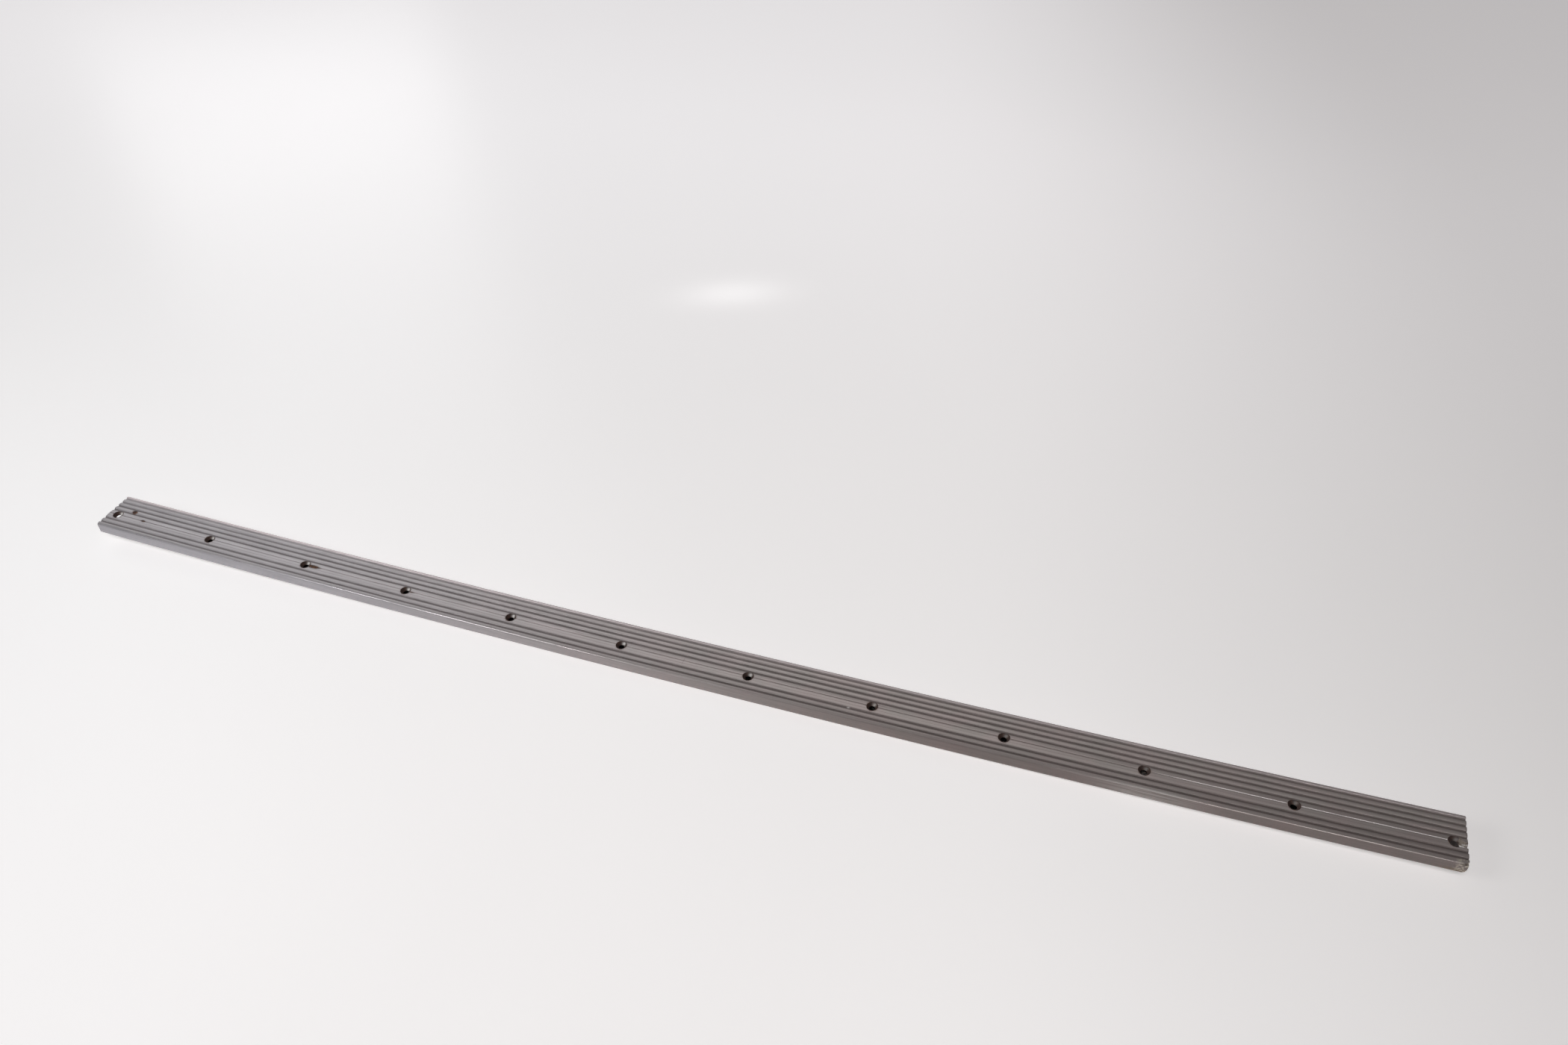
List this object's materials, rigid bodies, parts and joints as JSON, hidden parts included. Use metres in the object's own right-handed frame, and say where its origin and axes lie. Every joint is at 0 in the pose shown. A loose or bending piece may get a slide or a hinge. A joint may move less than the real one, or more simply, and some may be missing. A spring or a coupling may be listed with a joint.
{
  "type": "magnetic knife rack",
  "caption": "Long ribbed aluminium wall strip that holds knives by magnets inside, with a row of countersunk screw holes and a slight bow.",
  "frame": {"origin": "under the middle of the rack, on the surface it rests on with its ribbed face up", "axes": "+X along the rack to its broken end, +Y from the nose edge to the rear edge, +Z out of the ribbed face, away from the wall"},
  "size_m": [1.1264, 0.04, 0.0207],
  "materials": {
    "aged_aluminium": "extruded and oxidised to a dull warm grey, darker in the grooves, with rust stains round the screw holes",
    "keeper_steel": "mild steel strip with light rust",
    "ferrite": "ground dark grey ferrite"
  },
  "bodies": {
    "root": {"face_extrusion": "aged_aluminium", "keeper_strip": "keeper_steel", "magnet_01": "ferrite", "magnet_02": "ferrite", "magnet_03": "ferrite", "magnet_04": "ferrite", "magnet_05": "ferrite", "magnet_06": "ferrite", "magnet_07": "ferrite", "magnet_08": "ferrite", "magnet_09": "ferrite", "magnet_10": "ferrite", "magnet_11": "ferrite", "magnet_12": "ferrite", "magnet_13": "ferrite", "magnet_14": "ferrite", "magnet_15": "ferrite", "magnet_16": "ferrite", "magnet_17": "ferrite", "magnet_18": "ferrite", "magnet_19": "ferrite", "magnet_20": "ferrite", "magnet_21": "ferrite", "magnet_22": "ferrite"}
  },
  "joints": []
}
